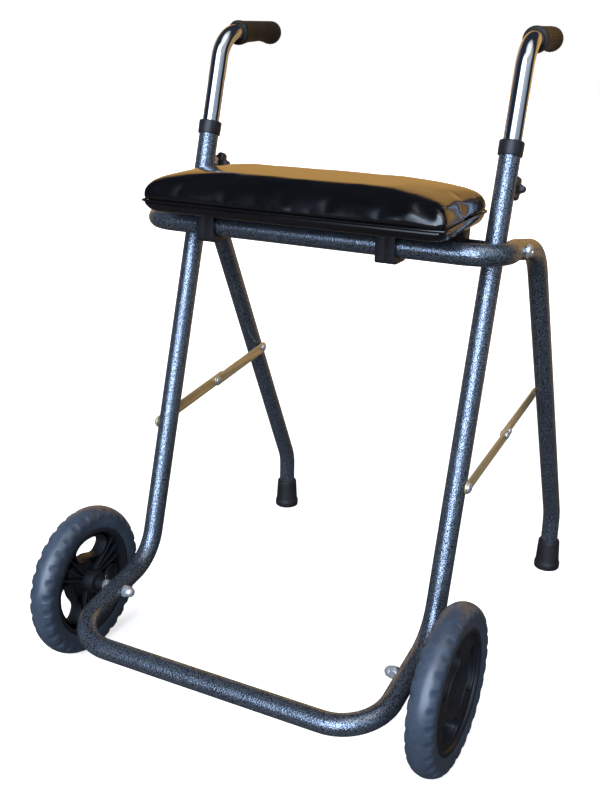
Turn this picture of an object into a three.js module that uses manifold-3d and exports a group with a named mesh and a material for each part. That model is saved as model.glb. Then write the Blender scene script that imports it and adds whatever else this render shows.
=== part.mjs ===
// Folding two-wheeled walking frame with a small seat.
// Millimetres. +Z up, +X to the right of somebody facing the frame's front,
// +Y back towards the person who walks behind it, floor at z = 0.
import * as THREE from 'three';
import { mergeVertices } from 'three/addons/utils/BufferGeometryUtils.js';
import Module from 'manifold-3d';

const wasm = await Module();
wasm.setup();

// ---------------------------------------------------------------- dimensions
const GAP = 0.3;                 // clearance between touching pieces
const TUBE_R = 12.7;             // frame tube, 25.4 mm outside diameter
const TUBE_WALL = 1.25;
const CHROME_R = 11.0;           // handle tube, 22 mm outside diameter
const CHROME_WALL = 1.2;
const SIDES = 14;                // facets round a tube

const POST_X = 206;              // half distance between the two posts
const POST_Y = 27.55;            // post axis at z = POST_Z
const POST_Z = 672.5;
const LEAN = 0.30;               // posts lean back 300 mm per metre
const POST_TOP = 675;
const LOW_BEND = [-140.3, 113]; // y, z where post turns into the lower arm
const FRONT_BEND = [-317.05, 82.5]; // y, z of the bottom crossbar
const LOW_BEND_R = 60;
const FRONT_BEND_R = 60;

const REAR_X = 232.5;            // half distance between the rear frame's arms
const LEG_X = 233.5;
const BAR = [-84.4, 566.65];      // y, z of the seat bar
const BAR_X = 240.3;              // the bar is a little wider than the arms
const BAR_R = 44;
const ARM_MID = [-15, 563.5];
const ARM_END = [79.32, 548.45];
const ARM_END_R = 70;
const KNEE = [310.25, 91.6];
const KNEE_R = 60;
const FOOT_Y = 310.25;
const LEG_END_Z = 7;

const PIVOT = [-5.6, 562];      // y, z of the fold axis, on the post axis
const BOLT_R = 4.0;
const HOLE_R = 4.3;

const AXLE = [-216.05, 100];
const WHEEL_X = 256;
const WHEEL_R = 100;
const TYRE_W = 33;
const TYRE_IN = 73;
const HUB_HALF = 20;
const HUB_FLOOR = -3;
const AXLE_R = 5.0;

const BRACE_A = [-87.25, 289.8];  // front pivot, on the post
const BRACE_B = [193.55, 322.3];  // rear pivot, on the leg
const BRACE_T = 0.52;            // share of the brace that the front link takes
const BRACE_HALF = 8;
const LINK_T = 2.5;
const LINK_OUT = 219.0;          // inner face of the front link
const RIVET_R = 3.0;

const SEAT_HALF = 196.4;
const SEAT_BACK_HALF = 190.5;
const SEAT_FRONT = -150;
const SEAT_BACK = 12;
const BOARD_Z = 588.4;
const BOARD_T = 11.6;
const CUSHION_Z = BOARD_Z + BOARD_T + GAP;
const CUSHION_T = 36;

const KNOB_Z = 634;              // height of the clamp screw on the post
const KNOB_R = 14.7;
const GRIP_Z = 791.7;            // height of the grips
const HANDLE_BEND_R = 44;
const HANDLE_LOW_Z = 578;        // lower end of the handle tube inside the post
const GRIP_START = 33.5;         // from the bend corner, along the grip
const GRIP_LEN = 98;
const TOE_IN = 3.0 * Math.PI / 180;

// ----------------------------------------------------------------- materials
const paint = { color: 0x4a545e, roughness: 0.35, metalness: 0.55 };
const chrome = { color: 0xc9ccd0, roughness: 0.08, metalness: 1.0 };
const black = { color: 0x15161a, roughness: 0.45, metalness: 0.0 };
const zinc = { color: 0xb4b8bc, roughness: 0.28, metalness: 0.95 };
const rubber = { color: 0x17181a, roughness: 0.7, metalness: 0.0 };
const grip = { color: 0x231d1a, roughness: 0.55, metalness: 0.0 };
const vinyl = { color: 0x0f1013, roughness: 0.25, metalness: 0.0 };
const tyre = { color: 0x66737c, roughness: 0.6, metalness: 0.0 };
const strip = { color: 0x9a7c4e, roughness: 0.35, metalness: 0.85 };

const group = new THREE.Group();
group.name = 'walking_frame';

// ------------------------------------------------------------------- helpers
const postY = (z) => POST_Y - LEAN * (POST_Z - z);
const postDir = new THREE.Vector3(0, LEAN, 1).normalize();
const backDir = new THREE.Vector3(0, 1, -LEAN).normalize();   // square to a post
const v3 = (x, y, z) => new THREE.Vector3(x, y, z);

function clean(geometry) {
  const g = geometry.index ? geometry.toNonIndexed() : geometry.clone();
  for (const name of Object.keys(g.attributes)) if (name !== 'position') g.deleteAttribute(name);
  return mergeVertices(g, 1e-4);
}

function solid(geometry) {
  const g = clean(geometry);
  const m = new wasm.Manifold(new wasm.Mesh({
    numProp: 3,
    vertProperties: new Float32Array(g.attributes.position.array),
    triVerts: new Uint32Array(g.index.array),
  }));
  if (m.volume() >= 0) return m;
  const idx = Array.from(g.index.array);
  for (let i = 0; i < idx.length; i += 3) [idx[i], idx[i + 1]] = [idx[i + 1], idx[i]];
  return new wasm.Manifold(new wasm.Mesh({
    numProp: 3,
    vertProperties: new Float32Array(g.attributes.position.array),
    triVerts: new Uint32Array(idx),
  }));
}

function geometryOf(manifold) {
  const m = manifold.getMesh();
  const g = new THREE.BufferGeometry();
  g.setAttribute('position', new THREE.BufferAttribute(new Float32Array(m.vertProperties), 3));
  g.setIndex(new THREE.BufferAttribute(new Uint32Array(m.triVerts), 1));
  g.computeVertexNormals();
  return g;
}

function add(name, shape, look, finish = {}) {
  const geometry = shape instanceof THREE.BufferGeometry ? shape : geometryOf(shape);
  const mesh = new THREE.Mesh(geometry, new THREE.MeshStandardMaterial({ ...look, ...finish }));
  mesh.name = name;
  group.add(mesh);
  return mesh;
}

// A geometry whose own +Y axis is turned onto dir and moved to at.
function aim(geometry, at, dir) {
  const q = new THREE.Quaternion().setFromUnitVectors(v3(0, 1, 0), dir.clone().normalize());
  return geometry.clone().applyQuaternion(q).translate(at.x, at.y, at.z);
}

// A round bar between two points.
function rod(a, b, r, sides = 20) {
  const d = b.clone().sub(a);
  const g = new THREE.CylinderGeometry(r, r, d.length(), sides);
  return aim(g, a.clone().add(b).multiplyScalar(0.5), d);
}
const bore = (a, b, r, sides = 20) => solid(rod(a, b, r, sides));

// A turned piece: profile of [radius, height] pairs, its axis from at along dir.
function turned(profile, at, dir, sides = 20) {
  const g = new THREE.LatheGeometry(profile.map(([r, h]) => new THREE.Vector2(r, h)), sides);
  return solid(aim(g, at, dir));
}

// A centre line of straight runs and round bends, with rings only where they
// are wanted: the ends of each straight and a few round each bend.
class BentLine extends THREE.Curve {
  constructor(corners, radii, arc = Math.PI / 9) {
    super();
    this.points = [corners[0].clone()];
    for (let i = 1; i < corners.length - 1; i++) {
      const p = corners[i];
      const a = corners[i - 1].clone().sub(p).normalize();
      const b = corners[i + 1].clone().sub(p).normalize();
      const turn = Math.PI - Math.acos(THREE.MathUtils.clamp(a.dot(b), -1, 1));
      const r = radii[i - 1];
      const reach = r * Math.tan(turn / 2);
      const centre = p.clone().add(a.clone().add(b).normalize().multiplyScalar(r / Math.cos(turn / 2)));
      const start = p.clone().addScaledVector(a, reach).sub(centre);
      const axis = start.clone().cross(p.clone().addScaledVector(b, reach).sub(centre)).normalize();
      const n = Math.max(2, Math.ceil(turn / arc));
      for (let k = 0; k <= n; k++) {
        this.points.push(start.clone().applyAxisAngle(axis, turn * k / n).add(centre));
      }
    }
    this.points.push(corners[corners.length - 1].clone());
    this.steps = this.points.length - 1;
  }
  getUtoTmapping(u) { return u; }
  getPoint(t, target = new THREE.Vector3()) {
    const s = THREE.MathUtils.clamp(t, 0, 1) * this.steps;
    const i = Math.min(Math.floor(s), this.steps - 1);
    return target.copy(this.points[i]).lerp(this.points[i + 1], s - i);
  }
  getTangent(t, target = new THREE.Vector3()) {
    const s = THREE.MathUtils.clamp(t, 0, 1) * this.steps;
    const i = Math.round(s);
    const before = this.points[Math.max(i - 1, 0)];
    const after = this.points[Math.min(i + 1, this.steps)];
    const here = this.points[i];
    const a = here.clone().sub(before).normalize();
    const b = after.clone().sub(here).normalize();
    return target.copy(a).add(b).normalize();
  }
}

function ring(r, sides) {
  const pts = [];
  for (let i = 0; i < sides; i++) {
    const t = 2 * Math.PI * i / sides;
    pts.push(new THREE.Vector2(r * Math.cos(t), r * Math.sin(t)));
  }
  return pts;
}

function tube(corners, radii, outer, inner, arc) {
  const line = new BentLine(corners, radii, arc);
  const shape = new THREE.Shape(ring(outer, SIDES));
  if (inner > 0) shape.holes.push(new THREE.Path(ring(inner, SIDES).reverse()));
  return solid(new THREE.ExtrudeGeometry(shape, { extrudePath: line, steps: line.steps, bevelEnabled: false }));
}

// A flat outline in the Y-Z plane, extruded along +X from x0 to x1.
function plate(shape, x0, x1, curveSegments = 8) {
  const g = new THREE.ExtrudeGeometry(shape, { depth: Math.abs(x1 - x0), bevelEnabled: false, curveSegments });
  // shape x -> +Y, shape y -> +Z, depth -> +X
  g.applyMatrix4(new THREE.Matrix4().set(0, 0, 1, Math.min(x0, x1), 1, 0, 0, 0, 0, 1, 0, 0, 0, 0, 0, 1));
  return solid(g);
}

// A dome, its flat side at `at`, pointing along dir.
const dome = (r, h, at, dir, sides = 12) => turned(
  [[0, 0], [r, 0], [r * 0.84, h * 0.62], [0, h]].reverse(), at, dir, sides);

// ---------------------------------------------------------------- front frame
{
  const corners = [
    v3(-POST_X, postY(POST_TOP), POST_TOP),
    v3(-POST_X, ...LOW_BEND),
    v3(-POST_X, ...FRONT_BEND),
    v3(POST_X, ...FRONT_BEND),
    v3(POST_X, ...LOW_BEND),
    v3(POST_X, postY(POST_TOP), POST_TOP),
  ];
  let frame = tube(corners, [LOW_BEND_R, FRONT_BEND_R, FRONT_BEND_R, LOW_BEND_R], TUBE_R, TUBE_R - TUBE_WALL);
  for (const s of [-1, 1]) {
    const x0 = s * (POST_X - 20);
    const x1 = s * (POST_X + 20);
    frame = frame.subtract(bore(v3(x0, ...PIVOT), v3(x1, ...PIVOT), HOLE_R, 16));
    frame = frame.subtract(bore(v3(x0, ...AXLE), v3(x1, ...AXLE), AXLE_R + GAP, 16));
    frame = frame.subtract(bore(v3(s * POST_X, ...BRACE_A), v3(x1, ...BRACE_A), RIVET_R + GAP, 12));
    const k = v3(s * POST_X, postY(KNOB_Z), KNOB_Z);
    frame = frame.subtract(bore(k, k.clone().addScaledVector(backDir, 20), 4.3, 16));
  }
  add('front_frame_tube', frame, paint);
}

// ----------------------------------------------- pieces that come in two sides
for (const [side, s] of [['left', -1], ['right', 1]]) {
  const out = v3(s, 0, 0);
  const inward = v3(-s, 0, 0);

  // collar on the top of the post
  const collarAt = v3(s * POST_X, postY(POST_Z), POST_Z);
  add(`collar_${side}`, turned([
    [13.15, -9], [14.6, -9], [15, -8], [15, 7], [14.2, 8.5], [11.6, 8.5], [11.6, 3.2], [13.15, 3.2], [13.15, -9],
  ], collarAt, postDir, 20), black);

  // clamp: boss nut on the back of the post, threaded stud and star knob
  const clampAt = v3(s * POST_X, postY(KNOB_Z), KNOB_Z);
  const boss = solid(aim(new THREE.CylinderGeometry(8.2, 8.2, 8, 6), clampAt.clone().addScaledVector(backDir, TUBE_R + GAP + 4), backDir))
    .subtract(bore(clampAt, clampAt.clone().addScaledVector(backDir, 40), 4.3, 16));
  add(`clamp_nut_${side}`, boss, zinc);
  add(`knob_stud_${side}`, rod(clampAt.clone().addScaledVector(backDir, CHROME_R + 0.5), clampAt.clone().addScaledVector(backDir, 40), 3.95, 16), zinc);
  const lobes = new THREE.Shape();
  for (let i = 0; i <= 30; i++) {
    const t = 2 * Math.PI * i / 30;
    const r = KNOB_R - 2.6 + 2.6 * Math.cos(5 * t);
    if (i === 0) lobes.moveTo(r * Math.cos(t), r * Math.sin(t)); else if (i < 30) lobes.lineTo(r * Math.cos(t), r * Math.sin(t));
  }
  lobes.closePath();
  const starGeometry = new THREE.ExtrudeGeometry(lobes, { depth: 12, bevelEnabled: false });
  starGeometry.rotateX(-Math.PI / 2);                       // depth along the local +Y axis
  let knob = solid(aim(starGeometry, clampAt.clone().addScaledVector(backDir, 30), backDir));
  knob = knob.add(solid(aim(new THREE.CylinderGeometry(7.5, 8.5, 6, 20), clampAt.clone().addScaledVector(backDir, 27.5), backDir)));
  knob = knob.subtract(bore(clampAt.clone().addScaledVector(backDir, 20), clampAt.clone().addScaledVector(backDir, 40.3), 4.25, 16));
  add(`clamp_knob_${side}`, knob, black);

  // handle tube and grip
  const axisPoint = v3(s * POST_X, postY(GRIP_Z), GRIP_Z);
  const gripDir = v3(0, 1, 0).applyAxisAngle(postDir, s * TOE_IN);
  const handleEnd = axisPoint.clone().addScaledVector(gripDir, GRIP_START + GRIP_LEN - 6);
  add(`handle_tube_${side}`, tube([
    v3(s * POST_X, postY(HANDLE_LOW_Z), HANDLE_LOW_Z), axisPoint, handleEnd,
  ], [HANDLE_BEND_R], CHROME_R, CHROME_R - CHROME_WALL, Math.PI / 12), chrome);
  add(`grip_${side}`, turned([
    [11.5, 0], [15.4, 0], [16.2, 1.5], [16.2, 4.5], [15.2, 7], [14.2, 20], [13.9, 46], [14.3, 74], [15.2, 88],
    [14.3, 93.5], [11, 97], [6, 98], [0, 98], [0, 93], [11.5, 93], [11.5, 0],
  ], axisPoint.clone().addScaledVector(gripDir, GRIP_START), gripDir, 16), grip);

  // pivot of the fold: bolt through arm and post into the cross rod
  const pin = (x) => v3(s * x, ...PIVOT);
  const bolt = solid(rod(pin(150), pin(REAR_X + TUBE_R + GAP), BOLT_R, 16))
    .add(turned([[0, 0], [7.5, 0], [7.5, 2.2], [6.6, 4.0], [4.2, 5.2], [0, 5.6]].reverse(), pin(REAR_X + TUBE_R + GAP), out, 18));
  add(`pivot_bolt_${side}`, bolt, zinc);
  const washer = new THREE.Shape(ring(8.0, 24));
  washer.holes.push(new THREE.Path(ring(HOLE_R, 16).reverse()));
  const washerPlate = plate(washer, s * 219.02, s * 219.48).translate([0, ...PIVOT]);
  add(`pivot_washer_${side}`, washerPlate, black);

  // rubber foot: its bore takes the end of the leg
  add(`foot_${side}`, turned([
    [0, 0], [18.4, 0], [19.5, 1.6], [19.5, 9], [18.2, 12], [16.3, 44], [15.4, 47], [13.15, 47], [13.15, 6.6], [0, 6.6],
  ], v3(s * LEG_X, FOOT_Y, 0), v3(0, 0, 1), 20), rubber);

  // wheel
  const wheelAt = v3(s * WHEEL_X, ...AXLE);
  const h = TYRE_W / 2;
  add(`tyre_${side}`, turned([
    [TYRE_IN, -h + 2], [TYRE_IN + 6, -h], [93, -h], [98.6, -h + 7], [WHEEL_R, 0],
    [98.6, h - 7], [93, h], [TYRE_IN + 6, h], [TYRE_IN, h - 2], [TYRE_IN, -h + 2],
  ], wheelAt, out, 36), tyre);
  // hub: a web near the outboard face with three kidney openings, dished to a capped bolt pocket, ribs behind
  let hub = turned([
    [AXLE_R + 1.9, -HUB_HALF], [15, -HUB_HALF], [15, -1], [21, 0.2], [34, 7], [66, 7], [66.5, -14.2], [TYRE_IN - GAP, -14.2],
    [TYRE_IN - GAP, 14.2], [67.5, 14.2], [66, 11], [33, 11], [20.5, 5.5], [19.3, 5.5], [19.3, 3.2], [11, 3.2], [11, HUB_FLOOR],
    [AXLE_R + 1.9, HUB_FLOOR], [AXLE_R + 1.9, -HUB_HALF],
  ], wheelAt, out, 30);
  for (let i = 0; i < 3; i++) {
    const mid = THREE.MathUtils.degToRad((s < 0 ? 82 : 5) + 120 * i);
    const kidney = new THREE.Shape();
    for (let k = 0; k < 22; k++) {
      const t = 2 * Math.PI * k / 22;
      const soft = (v) => Math.sign(v) * Math.abs(v) ** 0.6;
      const r = 46 + 14.5 * soft(Math.cos(t));
      const a = mid + THREE.MathUtils.degToRad(37) * soft(Math.sin(t));
      if (k) kidney.lineTo(r * Math.cos(a), r * Math.sin(a)); else kidney.moveTo(r * Math.cos(a), r * Math.sin(a));
    }
    kidney.closePath();
    hub = hub.subtract(plate(kidney, s * (WHEEL_X - 16), s * (WHEEL_X + 14), 7).translate([0, ...AXLE]));
    for (const off of [-46, 46]) {
      const turn = mid + THREE.MathUtils.degToRad(off) - Math.PI / 2;
      for (const [deep, x, long, r] of [[14.5, 0.25, 33, 50.2], [7.5, -3.25, 20, 24]]) {
        const rib = new THREE.BoxGeometry(deep, 2.4, long).translate(s * x, 0, r).rotateX(turn).translate(s * WHEEL_X, ...AXLE);
        hub = hub.add(solid(rib));
      }
    }
  }
  add(`hub_${side}`, hub, black);
  add(`hub_cap_${side}`, turned([[0, 3.5], [19, 3.5], [19, 4.9], [17.5, 5.4], [0, 5.6]].reverse(), wheelAt, out, 24), black);
  add(`hub_bush_${side}`, turned([
    [AXLE_R + 0.25, -HUB_HALF], [AXLE_R + 1.6, -HUB_HALF], [AXLE_R + 1.6, HUB_FLOOR], [AXLE_R + 0.25, HUB_FLOOR], [AXLE_R + 0.25, -HUB_HALF],
  ], wheelAt, out, 20), zinc);
  const axlePin = (x) => v3(s * x, ...AXLE);
  const nutFace = POST_X + TUBE_R + GAP;
  add(`axle_nut_${side}`, solid(aim(new THREE.CylinderGeometry(8.6, 8.6, 5, 6), axlePin(nutFace + 2.5), out))
    .subtract(bore(axlePin(nutFace - 1), axlePin(nutFace + 6), AXLE_R + GAP, 16)), zinc);
  add(`axle_spacer_${side}`, turned([
    [AXLE_R + GAP, 0], [9, 0], [9, 11.1], [AXLE_R + GAP, 11.1], [AXLE_R + GAP, 0],
  ], axlePin(nutFace + 5 + GAP), out, 20), black);
  const headAt = WHEEL_X + HUB_FLOOR + GAP;
  const axle = solid(rod(axlePin(183.5), axlePin(headAt + 0.5), AXLE_R, 16))
    .add(solid(aim(new THREE.CylinderGeometry(9, 9, 5.4, 6), axlePin(headAt + 2.7), out)));
  add(`axle_bolt_${side}`, axle, zinc);
  // dome nut: a hexagon foot with a rounded cap, its thread hole blind
  const nut = solid(aim(new THREE.CylinderGeometry(8.6, 8.6, 7, 6), axlePin(POST_X - TUBE_R - GAP - 3.5), out))
    .add(dome(7.4, 8.5, axlePin(POST_X - TUBE_R - GAP - 6.8), inward, 16))
    .subtract(bore(axlePin(183.2), axlePin(200), AXLE_R + 0.25, 16));
  add(`dome_nut_${side}`, nut, zinc);

  // folding brace: two flat links, opened at its rear pivot
  const a = new THREE.Vector2(...BRACE_A);
  const b = new THREE.Vector2(...BRACE_B);
  const along = b.clone().sub(a).normalize();
  const mid = a.clone().lerp(b, BRACE_T);
  const slot = (p, q, r) => {
    const d = q.clone().sub(p).normalize();
    const th = Math.atan2(d.y, d.x);
    const sh = new THREE.Shape();
    sh.absarc(q.x, q.y, r, th - Math.PI / 2, th + Math.PI / 2, false);
    sh.absarc(p.x, p.y, r, th + Math.PI / 2, th + 3 * Math.PI / 2, false);
    sh.closePath();
    return sh;
  };
  const hole = (sh, p, r) => sh.holes.push(new THREE.Path(ring(r, 12).map((q) => q.add(p)).reverse()));
  const stop = mid.clone().addScaledVector(along, 12.5);
  const frontShape = slot(a, mid.clone().addScaledVector(along, 14), BRACE_HALF);
  hole(frontShape, a, RIVET_R + GAP);
  hole(frontShape, mid, RIVET_R + GAP);
  hole(frontShape, stop, 2.3);
  const rearShape = slot(mid, b, BRACE_HALF);
  hole(rearShape, mid, RIVET_R + GAP);
  hole(rearShape, b, RIVET_R + GAP);
  const f0 = LINK_OUT, f1 = LINK_OUT + LINK_T, r1 = LINK_OUT - GAP, r0 = r1 - LINK_T;
  add(`brace_front_link_${side}`, plate(frontShape, s * f0, s * f1), strip);
  add(`brace_rear_link_${side}`, plate(rearShape, s * r0, s * r1), strip);
  const rv = (x, p) => v3(s * x, p.x, p.y);
  add(`brace_post_rivet_${side}`, solid(rod(rv(208, a), rv(f1 + GAP, a), RIVET_R, 12))
    .add(dome(6.8, 4, rv(f1 + GAP, a), out)), zinc);
  add(`brace_mid_rivet_${side}`, solid(rod(rv(r0 - GAP, mid), rv(f1 + GAP, mid), RIVET_R, 12))
    .add(dome(5.6, 3.4, rv(f1 + GAP, mid), out)).add(dome(5.6, 3.0, rv(r0 - GAP, mid), inward)), zinc);
  add(`brace_stop_rivet_${side}`, solid(rod(rv(f0 + 0.1, stop), rv(f1 + GAP, stop), 2.0, 12))
    .add(dome(4.4, 2.6, rv(f1 + GAP, stop), out)), zinc);
  add(`brace_leg_rivet_${side}`, solid(rod(rv(r0 - GAP, b), rv(r1 + 0.4, b), RIVET_R, 12))
    .add(dome(5.6, 3.0, rv(r0 - GAP, b), inward)), zinc);
}

// ----------------------------------------------------------------- rear frame
{
  const half = (s) => [
    v3(s * BAR_X, ...BAR), v3(s * REAR_X, ...ARM_MID), v3(s * REAR_X, ...ARM_END), v3(s * LEG_X, ...KNEE), v3(s * LEG_X, FOOT_Y, LEG_END_Z),
  ];
  let frame = tube([...half(-1).reverse(), ...half(1)],
    [KNEE_R, ARM_END_R, 60, BAR_R, BAR_R, 60, ARM_END_R, KNEE_R], TUBE_R, TUBE_R - TUBE_WALL);
  for (const s of [-1, 1]) {
    frame = frame.subtract(bore(v3(s * (REAR_X - 20), ...PIVOT), v3(s * (REAR_X + 20), ...PIVOT), HOLE_R, 16));
  }
  add('rear_frame_tube', frame, paint);
}

// cross rod between the posts, on the fold axis
add('pivot_rod', turned([
  [BOLT_R + GAP, -(POST_X - TUBE_R - GAP)], [6.5, -(POST_X - TUBE_R - GAP)], [6.5, POST_X - TUBE_R - GAP],
  [BOLT_R + GAP, POST_X - TUBE_R - GAP], [BOLT_R + GAP, -(POST_X - TUBE_R - GAP)],
], v3(0, ...PIVOT), v3(1, 0, 0), 20), black);

// ----------------------------------------------------------------------- seat
{
  // plan outline of the seat, a little narrower behind, set in and with its corners cut round
  const plan = (inset, r) => {
    const front = SEAT_HALF - inset, back = SEAT_BACK_HALF - inset, y0 = SEAT_FRONT + inset, y1 = SEAT_BACK - inset;
    const slope = (front - back) / (y1 - y0);
    const at = (y) => front - slope * (y - y0);
    const shape = new THREE.Shape();
    shape.moveTo(-front + r, y0); shape.lineTo(front - r, y0); shape.quadraticCurveTo(front, y0, at(y0 + r), y0 + r);
    shape.lineTo(at(y1 - r), y1 - r); shape.quadraticCurveTo(back, y1, back - r, y1); shape.lineTo(-back + r, y1);
    shape.quadraticCurveTo(-back, y1, -at(y1 - r), y1 - r); shape.lineTo(-at(y0 + r), y0 + r); shape.quadraticCurveTo(-front, y0, -front + r, y0);
    return shape;
  };
  add('seat_board', solid(new THREE.ExtrudeGeometry(plan(3.5, 20), { depth: BOARD_T, bevelEnabled: false, curveSegments: 5 }).translate(0, 0, BOARD_Z)), vinyl);

  // crowned cushion
  const bevel = 12;
  const padGeometry = new THREE.ExtrudeGeometry(plan(bevel, 10), {
    depth: CUSHION_T - 2 * bevel, bevelEnabled: true, bevelThickness: bevel, bevelSize: bevel, bevelSegments: 3, curveSegments: 4,
  }).translate(0, 0, CUSHION_Z + bevel);
  add('seat_cushion', solid(padGeometry), vinyl);

  // clips that hold the board on the seat bar
  for (const [side, x0] of [['left', -133.25], ['right', 107.25]]) {
    const top = BOARD_Z - GAP - BAR[1];
    const clip = new THREE.Shape();
    clip.moveTo(18, top); clip.lineTo(-18, top); clip.lineTo(-17.6, -13);
    clip.quadraticCurveTo(-17.4, -18, -12, -18.3); clip.lineTo(12, -18.3);
    clip.quadraticCurveTo(17.4, -18, 17.6, -13); clip.closePath();
    clip.holes.push(new THREE.Path(ring(13.15, 24).reverse()));
    add(`seat_clip_${side}`, plate(clip, x0 - 12.25, x0 + 12.25, 10).translate([0, ...BAR]), black);
  }
  // saddles that carry the back of the board on the cross rod
  for (const [side, s] of [['left', -1], ['right', 1]]) {
    const top = BOARD_Z - GAP - PIVOT[1];
    const saddle = new THREE.Shape();
    saddle.moveTo(13, top); saddle.lineTo(-18, top); saddle.lineTo(-10.4, 4);
    saddle.absarc(0, 0, 10.4, Math.PI, 2 * Math.PI, false);
    saddle.lineTo(10.4, 4); saddle.closePath();
    saddle.holes.push(new THREE.Path(ring(6.9, 20).reverse()));
    add(`seat_saddle_${side}`, plate(saddle, s * 143, s * 171, 8).translate([0, ...PIVOT]), black);
  }
}

export default group;
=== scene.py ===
import math
import bpy
import bmesh
from mathutils import Matrix, Vector, noise

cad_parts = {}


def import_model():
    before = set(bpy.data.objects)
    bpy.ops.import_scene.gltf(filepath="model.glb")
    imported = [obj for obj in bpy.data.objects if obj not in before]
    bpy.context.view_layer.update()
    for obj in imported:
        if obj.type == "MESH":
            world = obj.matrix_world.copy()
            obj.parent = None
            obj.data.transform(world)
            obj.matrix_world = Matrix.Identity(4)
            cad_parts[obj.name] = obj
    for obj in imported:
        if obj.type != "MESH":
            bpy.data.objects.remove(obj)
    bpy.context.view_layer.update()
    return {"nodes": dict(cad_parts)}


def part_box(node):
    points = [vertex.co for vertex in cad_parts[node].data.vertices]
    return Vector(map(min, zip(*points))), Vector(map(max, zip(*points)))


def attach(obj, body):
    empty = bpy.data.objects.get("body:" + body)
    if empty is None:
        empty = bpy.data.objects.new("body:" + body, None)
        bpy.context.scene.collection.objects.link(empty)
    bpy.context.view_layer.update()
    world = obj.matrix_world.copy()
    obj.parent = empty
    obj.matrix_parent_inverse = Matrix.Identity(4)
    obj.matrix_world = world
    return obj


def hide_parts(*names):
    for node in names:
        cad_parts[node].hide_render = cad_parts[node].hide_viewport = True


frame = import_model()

SCENE = bpy.context.scene
MM = 0.001


def V(x, y, z):
    """Millimetres in the row frame to a point in metres."""
    return Vector((x * MM, y * MM, z * MM))


# The design's driving sizes, in millimetres, as the CAD has them.
TUBE_R, POST_X, LEAN = 12.7, 206.0, 0.30
LOW_BEND, FRONT_BEND = (-140.3, 113.0), (-317.05, 82.5)
REAR_X, LEG_X = 232.5, 233.5
BAR_X, BAR, ARM_MID, ARM_END = 240.3, (-84.4, 566.65), (-15.0, 563.5), (79.32, 548.45)
KNEE, FOOT_Y = (310.25, 91.6), 310.25
PIVOT, AXLE = (-5.6, 562.0), (-216.05, 100.0)
WHEEL_X = 256.0
BRACE_A, BRACE_B, BRACE_T = (-87.25, 289.8), (193.55, 322.3), 0.52
GRIP_Z, KNOB_Z = 791.7, 634.0


def post_y(z):
    return 27.55 - LEAN * (672.5 - z)


POST_DIR = Vector((0, LEAN, 1)).normalized()
BACK_DIR = Vector((0, 1, -LEAN)).normalized()
SIDES = (("left", -1), ("right", 1))


# ------------------------------------------------------------------ materials
class Nodes:
    """A node material being built: n(type, **inputs) adds a node and links or sets its inputs."""

    def __init__(self, name):
        self.mat = bpy.data.materials.new(name)
        self.mat.use_nodes = True
        self.tree = self.mat.node_tree
        self.tree.nodes.clear()
        self.out = self.tree.nodes.new("ShaderNodeOutputMaterial")
        self.bsdf = self.tree.nodes.new("ShaderNodeBsdfPrincipled")
        self.tree.links.new(self.bsdf.outputs[0], self.out.inputs[0])
        self.coord = self.tree.nodes.new("ShaderNodeTexCoord").outputs["Object"]

    def put(self, socket, value):
        if isinstance(value, bpy.types.NodeSocket):
            self.tree.links.new(value, socket)
        else:
            socket.default_value = value

    def n(self, kind, props=None, **inputs):
        node = self.tree.nodes.new("ShaderNode" + kind)
        for key, value in (props or {}).items():
            setattr(node, key, value)
        for key, value in inputs.items():
            self.put(node.inputs[key.replace("_", " ")], value)
        return node

    def noise(self, scale, detail=3.0, rough=0.5, distortion=0.0, vector=None):
        return self.n("TexNoise", Vector=vector or self.coord, Scale=scale, Detail=detail, Roughness=rough, Distortion=distortion).outputs["Fac"]

    def voronoi(self, scale, feature="F1", smooth=None, vector=None):
        node = self.n("TexVoronoi", {"feature": feature}, Vector=vector or self.coord, Scale=scale)
        if smooth is not None:
            node.inputs["Smoothness"].default_value = smooth
        return node.outputs["Distance"]

    def ramp(self, fac, *stops):
        node = self.n("ValToRGB", Fac=fac)
        e = node.color_ramp.elements
        while len(e) < len(stops):
            e.new(0.5)
        for el, (pos, col) in zip(e, stops):
            el.position = pos
            el.color = (*col, 1) if len(col) == 3 else col
        return node.outputs["Color"]

    def span(self, fac, lo, hi, a=0.0, b=1.0):
        return self.n("MapRange", Value=fac, From_Min=a, From_Max=b, To_Min=lo, To_Max=hi).outputs["Result"]

    def math(self, op, a, b=0.0):
        node = self.n("Math", {"operation": op})
        self.put(node.inputs[0], a)
        self.put(node.inputs[1], b)
        return node.outputs[0]

    def mix(self, fac, a, b):
        node = self.n("Mix", {"data_type": "RGBA"})
        self.put(node.inputs[0], fac)
        self.put(node.inputs[6], a)
        self.put(node.inputs[7], b)
        return node.outputs[2]

    def bump(self, height, strength, distance, normal=None):
        node = self.n("Bump", Height=height, Strength=strength, Distance=distance)
        if normal is not None:
            self.tree.links.new(normal, node.inputs["Normal"])
        return node.outputs["Normal"]

    def set(self, **inputs):
        for key, value in inputs.items():
            self.put(self.bsdf.inputs[key.replace("_", " ")], value)
        return self.mat


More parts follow.
